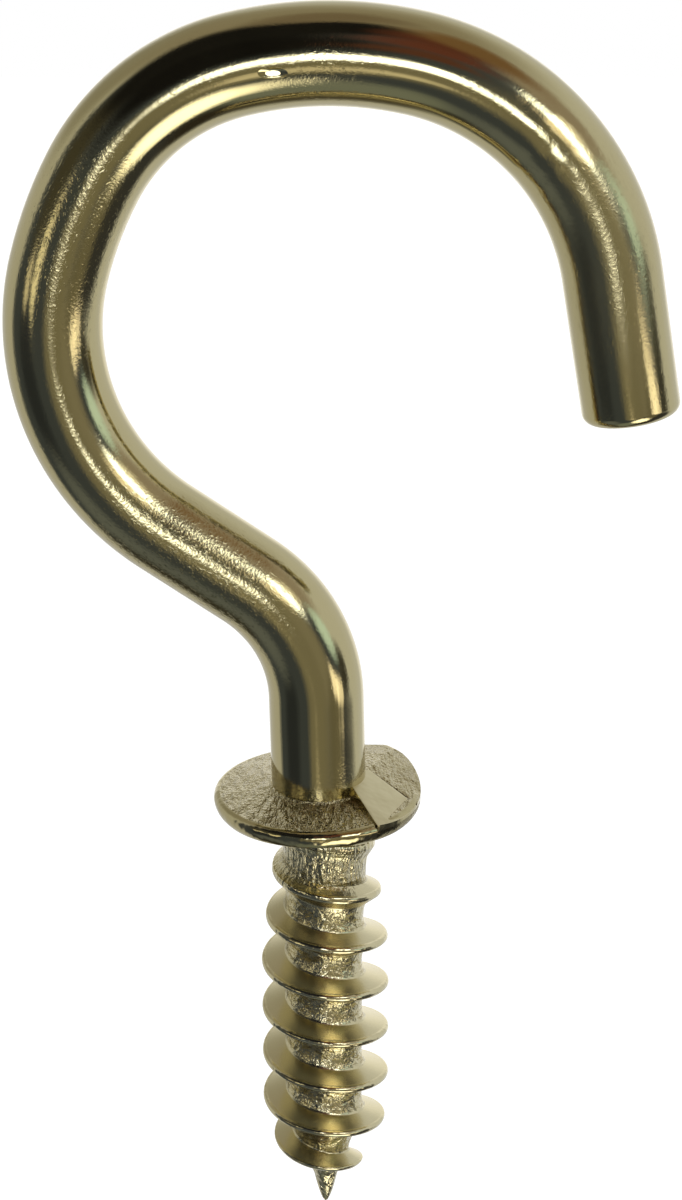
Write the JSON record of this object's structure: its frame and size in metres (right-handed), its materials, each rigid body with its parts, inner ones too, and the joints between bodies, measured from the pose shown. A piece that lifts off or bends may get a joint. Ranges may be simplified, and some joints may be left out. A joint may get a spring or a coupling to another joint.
{
  "type": "cup hook",
  "caption": "Shouldered cup hook of round wire: an open hook on an offset neck, with a flat collar that seats on the wood above a coarse, pointed wood-screw thread.",
  "frame": {"origin": "where the screw's axis meets the underside of the collar, which is the face that bears on the wood", "axes": "+Z along the screw's axis, from the point towards the hook's crown; +X towards the hook's open side; +Y to the back, square to the plane of the hook"},
  "size_m": [0.0237, 0.0077, 0.0461],
  "materials": {
    "brass_plate": "bright brass plate over drawn steel wire, with a fine drawn grain"
  },
  "bodies": {
    "root": {"cup_hook": "brass_plate"}
  },
  "joints": []
}
